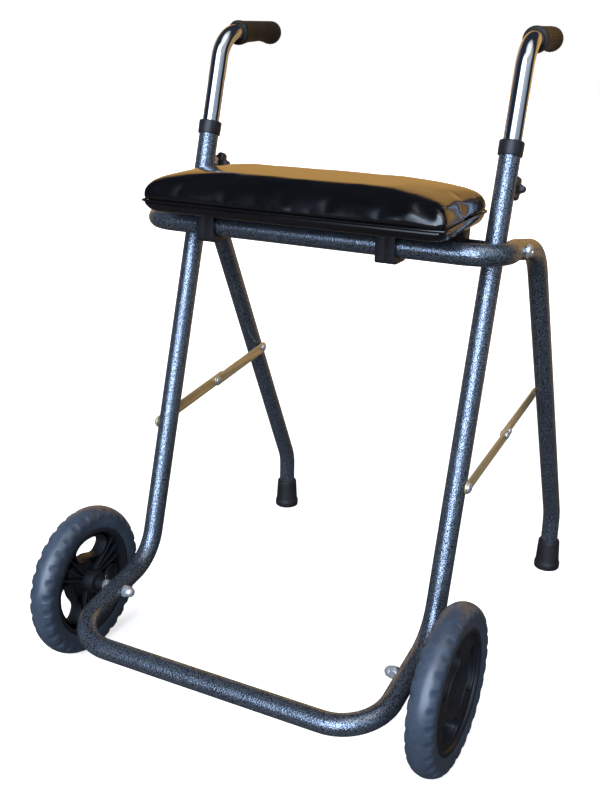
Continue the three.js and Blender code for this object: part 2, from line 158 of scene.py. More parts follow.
def hammer_paint():
    """Hammered enamel: dark slate ground, fine pale flecks, small lumps under a clear gloss."""
    m = Nodes("hammer_paint")
    warp = m.n("TexNoise", Vector=m.coord, Scale=240.0, Detail=2.0).outputs["Color"]
    moved = m.n("VectorMath", {"operation": "MULTIPLY_ADD"})
    m.put(moved.inputs[0], warp)
    moved.inputs[1].default_value = (0.0022, 0.0022, 0.0022)
    m.put(moved.inputs[2], m.coord)
    v = moved.outputs[0]
    cells = m.voronoi(680.0, "SMOOTH_F1", 0.3, v)
    flake = m.noise(700.0, 4.0, 0.70, 0.2, v)
    fine = m.noise(2200.0, 2.0, 0.6)
    broad = m.noise(11.0, 2.0)
    total = m.math("ADD", m.math("MULTIPLY", flake, 0.75), m.math("MULTIPLY", cells, 0.38))
    colour = m.ramp(total, (0.43, (0.010, 0.014, 0.021)), (0.51, (0.036, 0.047, 0.068)), (0.59, (0.31, 0.36, 0.44)))
    colour = m.mix(m.span(broad, 0.0, 0.2), colour, (0.045, 0.056, 0.074, 1))
    height = m.math("ADD", cells, m.math("MULTIPLY", fine, 0.05))
    return m.set(
        Base_Color=colour,
        Metallic=0.85,
        Roughness=m.span(total, 0.34, 0.19, 0.42, 0.62),
        Normal=m.bump(height, 0.28, 0.0008),
        Coat_Weight=0.16,
        Coat_Roughness=0.14,
    )


def chrome():
    m = Nodes("bright_chrome")
    smear = m.noise(60.0, 4.0, 0.6, 0.3)
    fine = m.noise(900.0, 3.0)
    return m.set(
        Base_Color=m.mix(m.span(smear, 0.0, 0.35), (0.83, 0.85, 0.88, 1), (0.68, 0.70, 0.73, 1)),
        Metallic=1.0,
        Roughness=m.span(smear, 0.06, 0.11, 0.35, 0.75),
        Normal=m.bump(fine, 0.03, 0.0002),
    )


def zinc():
    m = Nodes("bright_zinc")
    cloud = m.noise(220.0, 4.0, 0.6)
    fine = m.noise(2500.0, 2.0)
    return m.set(
        Base_Color=m.ramp(cloud, (0.3, (0.60, 0.63, 0.66)), (0.7, (0.84, 0.86, 0.88))),
        Metallic=0.78,
        Roughness=m.span(cloud, 0.20, 0.38),
        Normal=m.bump(fine, 0.12, 0.0001),
    )


def strip_steel():
    """Plated strip steel, faintly drawn along its length."""
    m = Nodes("plated_strip")
    mapped = m.n("Mapping", Vector=m.coord)
    mapped.inputs["Scale"].default_value = (1.0, 0.12, 1.0)
    grain = m.noise(1400.0, 3.0, 0.5, 0.0, mapped.outputs[0])
    cloud = m.noise(70.0, 4.0, 0.6)
    return m.set(
        Base_Color=m.ramp(cloud, (0.25, (0.74, 0.60, 0.33)), (0.6, (0.84, 0.70, 0.40)), (0.85, (0.92, 0.80, 0.52))),
        Metallic=0.72,
        Roughness=m.span(grain, 0.26, 0.44),
        Normal=m.bump(grain, 0.12, 0.0001),
    )


def plastic(name, base, rough, grain=900.0, strength=0.12):
    m = Nodes(name)
    cloud = m.noise(35.0, 4.0, 0.6)
    fine = m.noise(grain, 3.0, 0.6)
    lighter = tuple(min(1, c * 1.9 + 0.004) for c in base)
    return m.set(
        Base_Color=m.ramp(cloud, (0.3, base), (0.85, lighter)),
        Roughness=m.span(fine, rough - 0.08, rough + 0.1),
        Normal=m.bump(fine, strength, 0.0003),
        Specular_IOR_Level=0.45,
    )


def grip_rubber():
    m = Nodes("grip_rubber")
    cloud = m.noise(60.0, 4.0, 0.6)
    fine = m.noise(1300.0, 3.0, 0.6)
    worn = m.ramp(cloud, (0.3, (0.008, 0.0068, 0.006)), (0.8, (0.026, 0.020, 0.016)))
    return m.set(
        Base_Color=worn,
        Roughness=m.span(fine, 0.42, 0.58),
        Normal=m.bump(fine, 0.2, 0.0003),
        Specular_IOR_Level=0.24,
    )


def tyre_rubber():
    m = Nodes("tyre_rubber")
    cloud = m.noise(28.0, 5.0, 0.65)
    fine = m.noise(1100.0, 3.0, 0.6)
    dust = m.noise(140.0, 4.0, 0.7)
    base = m.ramp(cloud, (0.3, (0.034, 0.047, 0.070)), (0.75, (0.050, 0.068, 0.098)))
    return m.set(
        Base_Color=m.mix(m.span(dust, 0.0, 0.3, 0.5, 0.8), base, (0.125, 0.145, 0.175, 1)),
        Roughness=m.span(fine, 0.25, 0.36),
        Normal=m.bump(fine, 0.15, 0.0003),
        Specular_IOR_Level=0.80,
    )


def vinyl():
    """Black upholstery vinyl: leather pores, faint creases, a wet-looking top coat."""
    m = Nodes("black_vinyl")
    pores = m.voronoi(950.0, "F1")
    crease = m.voronoi(420.0, "DISTANCE_TO_EDGE")
    wave = m.noise(26.0, 2.0, 0.5, 0.3)
    cloud = m.noise(16.0, 3.0)
    grain = m.math("ADD", m.math("MULTIPLY", pores, 0.5), m.math("MULTIPLY", m.span(crease, 0.0, 1.0, 0.0, 0.12), 0.5))
    normal = m.bump(wave, 0.10, 0.002)
    return m.set(
        Base_Color=m.ramp(cloud, (0.3, (0.0012, 0.0012, 0.0016)), (0.8, (0.0026, 0.0026, 0.0034))),
        Roughness=m.span(cloud, 0.16, 0.24),
        Normal=m.bump(grain, 0.035, 0.0002, normal),
        Specular_IOR_Level=0.62,
        Coat_Weight=0.8,
        Coat_Roughness=0.09,
    )


PAINT = hammer_paint()
CHROME = chrome()
ZINC = zinc()
STRIP = strip_steel()
BLACK = plastic("black_plastic", (0.0085, 0.0085, 0.0105), 0.36)
HUB = plastic("hub_plastic", (0.0065, 0.0078, 0.011), 0.44, 700.0, 0.1)
FOOT = plastic("foot_rubber", (0.0085, 0.0085, 0.009), 0.5, 1200.0, 0.2)
BOARD = plastic("board_black", (0.010, 0.010, 0.011), 0.55, 500.0, 0.25)
GRIP = grip_rubber()
TYRE = tyre_rubber()
VINYL = vinyl()


# -------------------------------------------------------------------- meshes
def obj(name, verts, faces, mat, sharp=35.0):
    mesh = bpy.data.meshes.new(name)
    mesh.from_pydata([tuple(v) for v in verts], [], faces)
    mesh.validate()
    bm = bmesh.new()
    bm.from_mesh(mesh)
    bmesh.ops.recalc_face_normals(bm, faces=bm.faces)
    bm.to_mesh(mesh)
    bm.free()
    mesh.polygons.foreach_set("use_smooth", [True] * len(mesh.polygons))
    mesh.set_sharp_from_angle(angle=math.radians(sharp))
    o = bpy.data.objects.new(name, mesh)
    SCENE.collection.objects.link(o)
    mesh.materials.append(mat)
    return o


def bent_line(corners, radii, arc_deg=4.0):
    """Points along straight runs joined by round bends."""
    pts = [corners[0].copy()]
    for i in range(1, len(corners) - 1):
        p = corners[i]
        a = (corners[i - 1] - p).normalized()
        b = (corners[i + 1] - p).normalized()
        turn = math.pi - a.angle(b)
        r = radii[i - 1]
        reach = r * math.tan(turn / 2)
        centre = p + (a + b).normalized() * (r / math.cos(turn / 2))
        start = p + a * reach - centre
        axis = start.cross(p + b * reach - centre).normalized()
        n = max(3, math.ceil(math.degrees(turn) / arc_deg))
        for k in range(n + 1):
            pts.append(Matrix.Rotation(turn * k / n, 3, axis) @ start + centre)
    pts.append(corners[-1].copy())
    return pts


def frames_along(pts):
    tangents = []
    for i in range(len(pts)):
        a = pts[max(i - 1, 0)]
        b = pts[min(i + 1, len(pts) - 1)]
        tangents.append((b - a).normalized())
    n = tangents[0].orthogonal().normalized()
    out = []
    for i, t in enumerate(tangents):
        if i:
            q = tangents[i - 1].rotation_difference(t)
            n = (q @ n).normalized()
        out.append((pts[i], n, t.cross(n).normalized(), t))
    return out


def sweep(name, pts, r, mat, r_in=None, seg=40, shape=None):
    """A tube along pts. shape(i, angle) can scale its radius. Hollow where r_in is given."""
    verts, faces = [], []
    fr = frames_along(pts)
    for i, (p, n, b, t) in enumerate(fr):
        for k in range(seg):
            a = 2 * math.pi * k / seg
            rr = r * (shape(i, a) if shape else 1.0)
            verts.append(p + n * (rr * math.cos(a)) + b * (rr * math.sin(a)))
    for i in range(len(fr) - 1):
        for k in range(seg):
            k2 = (k + 1) % seg
            faces.append((i * seg + k, i * seg + k2, (i + 1) * seg + k2, (i + 1) * seg + k))
    if r_in:
        base = len(verts)
        for i, (p, n, b, t) in enumerate(fr):
            for k in range(seg):
                a = 2 * math.pi * k / seg
                verts.append(p + n * (r_in * math.cos(a)) + b * (r_in * math.sin(a)))
        for i in range(len(fr) - 1):
            for k in range(seg):
                k2 = (k + 1) % seg
                faces.append((base + i * seg + k2, base + i * seg + k, base + (i + 1) * seg + k, base + (i + 1) * seg + k2))
        for i in (0, len(fr) - 1):
            for k in range(seg):
                k2 = (k + 1) % seg
                faces.append((i * seg + k, i * seg + k2, base + i * seg + k2, base + i * seg + k))
    else:
        faces.append(tuple(range(seg)))
        faces.append(tuple((len(fr) - 1) * seg + k for k in range(seg)))
    return obj(name, verts, faces, mat)


def basis(direction):
    d = direction.normalized()
    n = Vector((0, 0, 1)) if abs(d.z) < 0.9 else Vector((0, 1, 0))
    u = d.cross(n).normalized()
    w = u.cross(d).normalized()
    return u, w, d


def lathe(name, profile, at, direction, mat, seg=64, warp=None, sharp=35.0):
    """Turned piece: profile of (radius mm, height mm), closed on its axis or on itself. warp(angle, r, h) -> (r, h)."""
    u, w, d = basis(direction)
    closed = profile[0] == profile[-1]
    prof = profile[:-1] if closed else profile
    verts, faces, rings = [], [], []
    for r, h in prof:
        if r < 1e-6:
            rings.append([len(verts)])
            verts.append(at + d * (h * MM))
            continue
        ring = []
        for k in range(seg):
            a = 2 * math.pi * k / seg
            rr, hh = warp(a, r, h) if warp else (r, h)
            ring.append(len(verts))
            verts.append(at + (u * math.cos(a) + w * math.sin(a)) * (rr * MM) + d * (hh * MM))
        rings.append(ring)
    pairs = list(zip(rings, rings[1:] + ([rings[0]] if closed else [])))[: len(rings) if closed else len(rings) - 1]
    for a, b in pairs:
        for k in range(seg):
            k2 = (k + 1) % seg
            if len(a) == 1 and len(b) == 1:
                continue
            if len(a) == 1:
                faces.append((a[0], b[k], b[k2]))
            elif len(b) == 1:
                faces.append((a[k], b[0], a[k2]))
            else:
                faces.append((a[k], b[k], b[k2], a[k2]))
    return obj(name, verts, faces, mat, sharp)


def plate(name, outline, holes, x0, x1, mat, bevel=0.4, at=(0, 0), segments=2):
    """Outline in Y-Z millimetres extruded from x0 to x1, its rims rounded."""
    curve = bpy.data.curves.new(name, "CURVE")
    curve.dimensions = "2D"
    curve.fill_mode = "BOTH"
    curve.extrude = abs(x1 - x0) / 2 * MM
    for loop in [outline] + list(holes):
        sp = curve.splines.new("POLY")
        sp.points.add(len(loop) - 1)
        for pt, (y, z) in zip(sp.points, loop):
            pt.co = (y * MM, z * MM, 0, 1)
        sp.use_cyclic_u = True
    tmp = bpy.data.objects.new(name + "_c", curve)
    SCENE.collection.objects.link(tmp)
    bpy.context.view_layer.update()
    mesh = bpy.data.meshes.new_from_object(tmp.evaluated_get(bpy.context.evaluated_depsgraph_get()))
    bpy.data.objects.remove(tmp)
    bpy.data.curves.remove(curve)
    mesh.name = name
    bm = bmesh.new()
    bm.from_mesh(mesh)
    bmesh.ops.remove_doubles(bm, verts=bm.verts, dist=1e-6)
    bmesh.ops.recalc_face_normals(bm, faces=bm.faces)
    bmesh.ops.dissolve_limit(bm, angle_limit=0.001, verts=bm.verts, edges=[e for e in bm.edges if len(e.link_faces) == 2 and all(abs(f.normal.z) > 0.99 for f in e.link_faces)])
    rims = [e for e in bm.edges if len(e.link_faces) == 2 and (abs(e.link_faces[0].normal.z) > 0.99) != (abs(e.link_faces[1].normal.z) > 0.99)]
    bmesh.ops.bevel(bm, geom=rims, offset=bevel * MM, segments=segments, affect="EDGES", profile=0.5, clamp_overlap=True)
    cx = (x0 + x1) / 2
    bm.transform(Matrix(((0, 0, 1, cx * MM), (1, 0, 0, at[0] * MM), (0, 1, 0, at[1] * MM), (0, 0, 0, 1))))
    bmesh.ops.recalc_face_normals(bm, faces=bm.faces)
    bm.to_mesh(mesh)
    bm.free()
    mesh.materials.clear()
    mesh.materials.append(mat)
    mesh.polygons.foreach_set("use_smooth", [True] * len(mesh.polygons))
    mesh.set_sharp_from_angle(angle=math.radians(40))
    o = bpy.data.objects.new(name, mesh)
    SCENE.collection.objects.link(o)
    return o


def circle(r, n=32, c=(0, 0)):
    return [(c[0] + r * math.cos(2 * math.pi * k / n), c[1] + r * math.sin(2 * math.pi * k / n)) for k in range(n)]


def join(name, *parts):
    """Several meshes of one piece as one object."""
    bm = bmesh.new()
    mats = []
    for o in parts:
        me = o.data
        offset = len(mats)
        for m in me.materials:
            mats.append(m)
        start = len(bm.faces)
        bm.from_mesh(me)
        bm.faces.ensure_lookup_table()
        for f in bm.faces[start:]:
            f.material_index += offset
    mesh = bpy.data.meshes.new(name)
    bm.to_mesh(mesh)
    bm.free()
    keep = []
    remap = {}
    for i, m in enumerate(mats):
        if m not in keep:
            keep.append(m)
        remap[i] = keep.index(m)
    for m in keep:
        mesh.materials.append(m)
    for p in mesh.polygons:
        p.material_index = remap.get(p.material_index, 0)
    for o in parts:
        bpy.data.objects.remove(o)
    out = bpy.data.objects.new(name, mesh)
    SCENE.collection.objects.link(out)
    return out


def hexagon(name, across_flats, height, at, direction, mat, chamfer=0.8, hole=0.0):
    """A hexagon nut or head with chamfered corners."""
    rc = across_flats / math.sqrt(3)
    ri = across_flats / 2
    u, w, d = basis(direction)
    seg = 72
    rows = []
    for h, limit in ((0.0, ri), (chamfer * 0.55, rc), (height - chamfer * 0.55, rc), (height, ri)):
        row = []
        for k in range(seg):
            a = 2 * math.pi * k / seg
            m = (a + math.pi / 6) % (math.pi / 3) - math.pi / 6
            row.append((min(ri / math.cos(m), limit), a, h))
        rows.append(row)
    verts, faces = [], []
    for row in rows:
        for r, a, h in row:
            verts.append(at + (u * math.cos(a) + w * math.sin(a)) * (r * MM) + d * (h * MM))
    for j in range(3):
        for k in range(seg):
            k2 = (k + 1) % seg
            faces.append((j * seg + k, (j + 1) * seg + k, (j + 1) * seg + k2, j * seg + k2))
    faces.append(tuple(range(seg)))
    faces.append(tuple(3 * seg + k for k in range(seg)))
    return obj(name, verts, faces, mat, 25)


def dome(name, r, h, at, direction, mat, seg=48):
    prof = [(0, 0), (r, 0), (r, h * 0.12)]
    for k in range(1, 12):
        t = k / 12 * math.pi / 2
        prof.append((r * math.cos(t), h * 0.12 + h * 0.88 * math.sin(t)))
    prof.append((0, h))
    return lathe(name, prof, at, direction, mat, seg)


def done(piece, body, slot, *nodes):
    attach(piece, body)
    if nodes:
        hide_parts(*nodes)
    return piece


# ---------------------------------------------------------------- the frames
front = sweep("front_frame_tube_v", bent_line([
    V(-POST_X, post_y(675), 675), V(-POST_X, *LOW_BEND), V(-POST_X, *FRONT_BEND),
    V(POST_X, *FRONT_BEND), V(POST_X, *LOW_BEND), V(POST_X, post_y(675), 675),
], [0.060] * 4), TUBE_R * MM, PAINT, (TUBE_R - 1.25) * MM, 48)
done(front, "front_frame", "frame_paint", "front_frame_tube")

rear_corners = [V(LEG_X, FOOT_Y, 7), V(LEG_X, *KNEE), V(REAR_X, *ARM_END), V(REAR_X, *ARM_MID), V(BAR_X, *BAR)]
rear_corners = [Vector((-p.x, p.y, p.z)) for p in rear_corners] + rear_corners[::-1]
rear = sweep("rear_frame_tube_v", bent_line(rear_corners, [0.060, 0.070, 0.060, 0.044, 0.044, 0.060, 0.070, 0.060]),
             TUBE_R * MM, PAINT, (TUBE_R - 1.25) * MM, 48)
done(rear, "rear_frame", "frame_paint", "rear_frame_tube")

rod = lathe("pivot_rod_v", [(4.3, -193), (5.6, -193), (6.5, -192.2), (6.5, 192.2), (5.6, 193), (4.3, 193), (4.3, -193)],
            V(0, *PIVOT), Vector((1, 0, 0)), BLACK, 40)
done(rod, "front_frame", "black_plastic", "pivot_rod")

for side, s in SIDES:
    out = Vector((s, 0, 0))
    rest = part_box(f"tyre_{side}")
    wheel_at = (rest[0] + rest[1]) / 2

    # collar: a skirt with a rounded lip
    at = V(s * POST_X, post_y(672.5), 672.5)
    collar = lathe(f"collar_{side}_v", [
        (13.1, -9), (14.0, -9), (14.5, -8.7), (14.7, -8), (15.0, 6.2), (14.8, 7.4), (14.0, 8.3), (13.2, 8.5),
        (11.9, 8.5), (11.5, 8.1), (11.5, 3.2), (13.1, 3.2), (13.1, -9),
    ], at, POST_DIR, BLACK, 72)
    done(collar, "front_frame", "black_plastic", f"collar_{side}")

    # clamp: boss nut, stud and five-lobed knob
    k0 = V(s * POST_X, post_y(KNOB_Z), KNOB_Z)
    boss = hexagon(f"clamp_nut_{side}_v", 14.2, 8.0, k0 + BACK_DIR * 0.0130, BACK_DIR, ZINC)
    done(boss, "front_frame", "zinc", f"clamp_nut_{side}")
    u, w, d = basis(BACK_DIR)
    verts, faces = [], []
    seg = 120
    rows = [(24.5, 0.50, 0), (24.5, 0.56, 0), (29.6, 0.62, 0.0), (30.2, 0.9, 1), (30.6, 0.97, 1), (31.6, 1.0, 1), (40.2, 1.0, 1),
            (41.4, 0.96, 1), (42.0, 0.88, 1), (42.0, 0.6, 0.8), (41.4, 0.5, 0.3), (41.2, 0.0, 0)]
    for h, f, lobed in rows:
        for k in range(seg):
            a = 2 * math.pi * k / seg
            star = 14.7 - 2.9 * (0.5 - 0.5 * math.cos(5 * a)) ** 1.3 * 1.6
            r = f * (star * lobed + 14.7 * (1 - lobed))
            verts.append(k0 + (u * math.cos(a) + w * math.sin(a)) * (r * MM) + d * (h * MM))
    for j in range(len(rows) - 1):
        for k in range(seg):
            k2 = (k + 1) % seg
            faces.append((j * seg + k, (j + 1) * seg + k, (j + 1) * seg + k2, j * seg + k2))
    faces.append(tuple(range(seg)))
    knob = obj(f"clamp_knob_{side}_v", verts, faces, BLACK, 30)
    done(knob, f"knob_{side}", "black_plastic", f"clamp_knob_{side}")
    frame["nodes"][f"knob_stud_{side}"].data.materials.clear()
    frame["nodes"][f"knob_stud_{side}"].data.materials.append(ZINC)

    # handle: chrome tube and grip, toed in a little
    corner = V(s * POST_X, post_y(GRIP_Z), GRIP_Z)
    grip_dir = Matrix.Rotation(s * math.radians(3.0), 3, POST_DIR) @ Vector((0, 1, 0))
    handle = sweep(f"handle_tube_{side}_v", bent_line([
        V(s * POST_X, post_y(578), 578), corner, corner + grip_dir * 0.1255,
    ], [0.044], 3.0), 0.011, CHROME, 0.0098, 64)
    done(handle, f"handle_{side}", "chrome", f"handle_tube_{side}")

    # grip: eccentric section, finger grooves underneath, flange in front
    u, w, d = basis(grip_dir)
    down = Vector((0, 0, -1))
    verts, faces = [], []
    seg = 96
    stations = []
    n = 90
    for i in range(n + 1):
        h = 98.0 * i / n
        top = 15.2
        if h < 1.2:
            top = 14.6 + 1.2 * math.sqrt(max(0, 1 - (1 - h / 1.2) ** 2))
        elif h < 6:
            top = 15.8
        elif h < 9:
            top = 15.8 - (h - 6) / 3 * 0.9
        else:
            top = 14.9
        under = 14.3 + 1.9 * math.exp(-((h - 3) / 9.0) ** 2) - 1.2 * math.exp(-((h - 26) / 12.0) ** 2) \
            - 3.0 * math.exp(-((h - 52) / 20.0) ** 2) + 1.8 * math.exp(-((h - 82) / 9.0) ** 2)
        end = 1.0
        if h > 86:
            end = math.sqrt(max(0.0, 1 - ((h - 86) / 12.0) ** 2))
        stations.append((h, top, under, end))
    for h, top, under, end in stations:
        for k in range(seg):
            a = 2 * math.pi * k / seg
            dirv = u * math.cos(a) + w * math.sin(a)
            f = 0.5 + 0.5 * dirv.dot(down)
            r = top * (1 - f) + under * f
            rib = 0.0
            if 9 < h < 88:
                rib = 0.22 * math.cos(a * 24) * min(1, (h - 9) / 4) * min(1, (88 - h) / 5)
            r = max(0.05, (r + rib) * max(end, 0.02))
            verts.append(corner + grip_dir * ((33.5 + h) * MM) + dirv * (r * MM))
    for j in range(n):
        for k in range(seg):
            k2 = (k + 1) % seg
            faces.append((j * seg + k, (j + 1) * seg + k, (j + 1) * seg + k2, j * seg + k2))
    faces.append(tuple(n * seg + k for k in range(seg)))
    inner = len(verts)
    for h in (0.0, 12.0):
        for k in range(seg):
            a = 2 * math.pi * k / seg
            verts.append(corner + grip_dir * ((33.5 + h) * MM) + (u * math.cos(a) + w * math.sin(a)) * 0.0113)
    for k in range(seg):
        k2 = (k + 1) % seg
        faces.append((k, k2, inner + k2, inner + k))
        faces.append((inner + k, inner + k2, inner + seg + k2, inner + seg + k))
    grip = obj(f"grip_{side}_v", verts, faces, GRIP, 50)
    done(grip, f"handle_{side}", "grip", f"grip_{side}")

    # fold pivot bolt: low domed head on a thin washer face
    face = V(s * (REAR_X + TUBE_R + 0.3), *PIVOT)
    bolt = join(f"pivot_bolt_{side}_v",
                lathe("a", [(0, 0), (8.6, 0), (8.6, 0.9), (7.4, 1.2), (7.3, 2.4), (6.6, 3.9), (5.2, 5.0), (3.4, 5.5), (3.0, 5.4), (2.6, 4.2), (0, 4.0)], face, out, ZINC, 48),
                lathe("b", [(0, 0), (4, 0), (4, 95), (0, 95)], V(s * 150, *PIVOT), out, ZINC, 24))
    done(bolt, "front_frame", "zinc", f"pivot_bolt_{side}")
    for node, mat in ((f"pivot_washer_{side}", BLACK), (f"hub_bush_{side}", ZINC)):
        frame["nodes"][node].data.materials.clear()
        frame["nodes"][node].data.materials.append(mat)

    # rubber foot
    foot = lathe(f"foot_{side}_v", [
        (0, 0), (17.6, 0), (18.9, 0.5), (19.4, 1.6), (19.5, 8.0), (19.2, 9.6), (18.4, 11.2), (17.9, 13.5), (16.4, 42.0), (16.2, 44.6), (15.6, 46.3), (14.6, 47),
        (13.4, 47), (13.05, 46.4), (13.05, 6.8), (0, 6.8),
    ], V(s * LEG_X, FOOT_Y, 0), Vector((0, 0, 1)), FOOT, 72)
    done(foot, "rear_frame", "foot_rubber", f"foot_{side}")

    # tyre: crowned tread with a row of scallops along each shoulder
    verts, faces = [], []
    seg = 720
    prof = [(73, -14.3), (75, -15.0), (78, -15.6), (82, -16.1), (86, -16.4), (89.0, -16.4), (91.2, -16.1), (93.0, -15.3), (94.6, -14.0), (95.9, -12.4), (97.2, -10.4),
            (98.4, -8.0), (99.2, -5.5), (99.8, -2.8), (100, 0)]
    prof = prof + [(r, -h) for r, h in prof[-2::-1]]
    u, w, d = basis(out)
    for r, h in prof:
        for k in range(seg):
            a = 2 * math.pi * k / seg
            rr, hh = r, h
            if r > 88 and abs(h) > 6:
                phase = 0.0 if h < 0 else math.pi
                wave = max(0.0, math.cos(30 * a + phase) + 0.05) / 1.05
                wave = wave ** 0.8
                band = max(0.0, math.sin(math.pi * min(1, max(0, (r - 88) / 10.4)))) ** 0.8
                rr -= 1.5 * wave * band
                hh -= math.copysign(1.15 * wave * band, h)
            verts.append(wheel_at + (u * math.cos(a) + w * math.sin(a)) * (rr * MM) + d * (hh * MM))
    rows = len(prof)
    for j in range(rows):
        j2 = (j + 1) % rows
        for k in range(seg):
            k2 = (k + 1) % seg
            faces.append((j * seg + k, j2 * seg + k, j2 * seg + k2, j * seg + k2))
    tyre = obj(f"tyre_{side}_v", verts, faces, TYRE, 60)
    done(tyre, f"wheel_{side}", "tyre", f"tyre_{side}")

    # hub: rim, web near the outboard face with three kidney openings, dish, capped bolt pocket, ribs behind
    yz = (wheel_at.y / MM, wheel_at.z / MM)
    rim = lathe("rim", [(72.7, -14.2), (71.0, -14.8), (68.5, -14.6), (67.2, -13.6), (66.7, -12.0), (66.3, 0.0), (66.0, 10.4), (66.4, 11.4), (67.4, 13.6), (68.6, 14.6), (70.2, 14.9), (72.2, 14.6), (72.7, 14.0), (72.7, -14.2)],
                wheel_at, out, HUB, 144)
    first = 82 if s < 0 else 5
    kidneys = []
    for i in range(3):
        mid = math.radians(first + 120 * i)
        loop = []
        for k in range(64):
            t = 2 * math.pi * k / 64
            cs, sn = math.cos(t), math.sin(t)
            r = 46.8 + 13.7 * math.copysign(abs(cs) ** 0.6, cs)
            a = mid + math.radians(37) * math.copysign(abs(sn) ** 0.6, sn)
            loop.append((r * math.cos(a), r * math.sin(a)))
        kidneys.append(loop)
    web = plate("web", circle(66.6, 96), kidneys + [circle(31.0, 48)], s * (WHEEL_X + 7), s * (WHEEL_X + 11), HUB, 1.3, yz, 3)
    hub_parts = [rim, web]
    for i, loop in enumerate(kidneys):
        # a deep wall stands round each opening on the inboard face
        cy = sum(q[0] for q in loop) / len(loop)
        cz = sum(q[1] for q in loop) / len(loop)
        grown = []
        for y, z in loop:
            d = math.hypot(y - cy, z - cz)
            grown.append((y + (y - cy) / d * 1.8, z + (z - cz) / d * 1.8))
        hub_parts.append(plate(f"lip{i}", grown, [loop], s * (WHEEL_X - 7), s * (WHEEL_X + 8), HUB, 0.4, yz, 2))
        for off in (-46, 46, 60):
            e = math.radians(first + 120 * i + off)
            c, sn, t = math.cos(e), math.sin(e), 1.2
            for r0, r1, h0, h1 in ((33.7, 66.4, -7, 7.5), (14, 34, -7, 0.4)):
                hub_parts.append(plate(f"rib{i}{off}{r0}", [(r0 * c + t * sn, r0 * sn - t * c), (r1 * c + t * sn, r1 * sn - t * c), (r1 * c - t * sn, r1 * sn + t * c), (r0 * c - t * sn, r0 * sn + t * c)],
                                       [], s * (WHEEL_X + h0), s * (WHEEL_X + h1), HUB, 0.4, yz))
    hub_parts.append(lathe("barrel", [(6.9, -20), (13.4, -20), (14.6, -19.4), (15.0, -18), (15.0, -1), (21, 0.2), (32, 7), (33.4, 9), (33.2, 10.4), (32, 10.9), (30.5, 10.2), (22.2, 6.3), (20.9, 5.8),
                                      (19.9, 5.8), (19.4, 5.4), (19.3, 3.2), (11, 3.2), (11, -3), (6.9, -3), (6.9, -20)], wheel_at, out, HUB, 120))
    hub = join(f"hub_{side}_v", *hub_parts)
    done(hub, f"wheel_{side}", "hub_plastic", f"hub_{side}")
    cap = lathe(f"hub_cap_{side}_v", [(0, 3.5), (18.4, 3.5), (18.9, 3.9), (18.9, 4.6), (18.5, 5.1), (17.6, 5.35), (16.4, 5.3), (15.6, 4.7), (14.8, 4.5), (0, 4.9)], wheel_at, out, HUB, 96)
    done(cap, f"wheel_{side}", "hub_plastic", f"hub_cap_{side}")

    # axle: hexagon head in the boss recess, lock nut on the post, spacer, dome nut inboard
    lock = hexagon(f"axle_nut_{side}_v", 14.9, 5.0, V(s * 219.0, *AXLE), out, ZINC)
    done(lock, "front_frame", "zinc", f"axle_nut_{side}")
    spacer = lathe(f"axle_spacer_{side}_v", [(5.3, 0), (8.2, 0), (9, 0.8), (9, 10.3), (8.2, 11.1), (5.3, 11.1), (5.3, 0)],
                   V(s * 224.3, *AXLE), out, BLACK, 48)
    done(spacer, "front_frame", "black_plastic", f"axle_spacer_{side}")
    axle = join(f"axle_bolt_{side}_v",
                hexagon("a", 15.6, 5.4, V(s * 253.3, *AXLE), out, ZINC),
                lathe("b", [(0, 0), (5, 0), (5, 70), (0, 70)], V(s * 183.5, *AXLE), out, ZINC, 32))
    done(axle, "front_frame", "zinc", f"axle_bolt_{side}")
    inner_face = V(s * 193.0, *AXLE)
    nut = join(f"dome_nut_{side}_v",
               hexagon("a", 14.6, 6.8, inner_face, -out, ZINC),
               dome("b", 6.9, 8.4, inner_face - out * 0.0066, -out, ZINC))
    done(nut, "front_frame", "zinc", f"dome_nut_{side}")

    # brace: two flat links and their rivets
    ay, az = BRACE_A
    by, bz = BRACE_B
    length = math.hypot(by - ay, bz - az)
    dy, dz = (by - ay) / length, (bz - az) / length
    mid = (ay + (by - ay) * BRACE_T, az + (bz - az) * BRACE_T)
    stop = (mid[0] + 12.5 * dy, mid[1] + 12.5 * dz)
    end = (mid[0] + 14 * dy, mid[1] + 14 * dz)

    def slot_loop(p, q, r, n=20):
        th = math.atan2(q[1] - p[1], q[0] - p[0])
        loop = []
        for k in range(n + 1):
            a = th - math.pi / 2 + math.pi * k / n
            loop.append((q[0] + r * math.cos(a), q[1] + r * math.sin(a)))
        for k in range(n + 1):
            a = th + math.pi / 2 + math.pi * k / n
            loop.append((p[0] + r * math.cos(a), p[1] + r * math.sin(a)))
        return loop

    link = plate(f"brace_front_link_{side}_v", slot_loop((ay, az), end, 8.0), [circle(3.3, 24, (ay, az)), circle(3.3, 24, mid)],
                 s * 219.0, s * 221.5, STRIP, 0.35)
    done(link, f"brace_front_{side}", "brace_strip", f"brace_front_link_{side}")
    link = plate(f"brace_rear_link_{side}_v", slot_loop(mid, (by, bz), 8.0), [circle(3.3, 24, mid), circle(3.3, 24, (by, bz))],
                 s * 216.2, s * 218.7, STRIP, 0.35)
    done(link, f"brace_rear_{side}", "brace_strip", f"brace_rear_link_{side}")

    def shank(x0, x1, p, r=3.0):
        return lathe("s", [(0, 0), (r, 0), (r, abs(x1 - x0)), (0, abs(x1 - x0))], V(s * x0, *p), out, ZINC, 24)

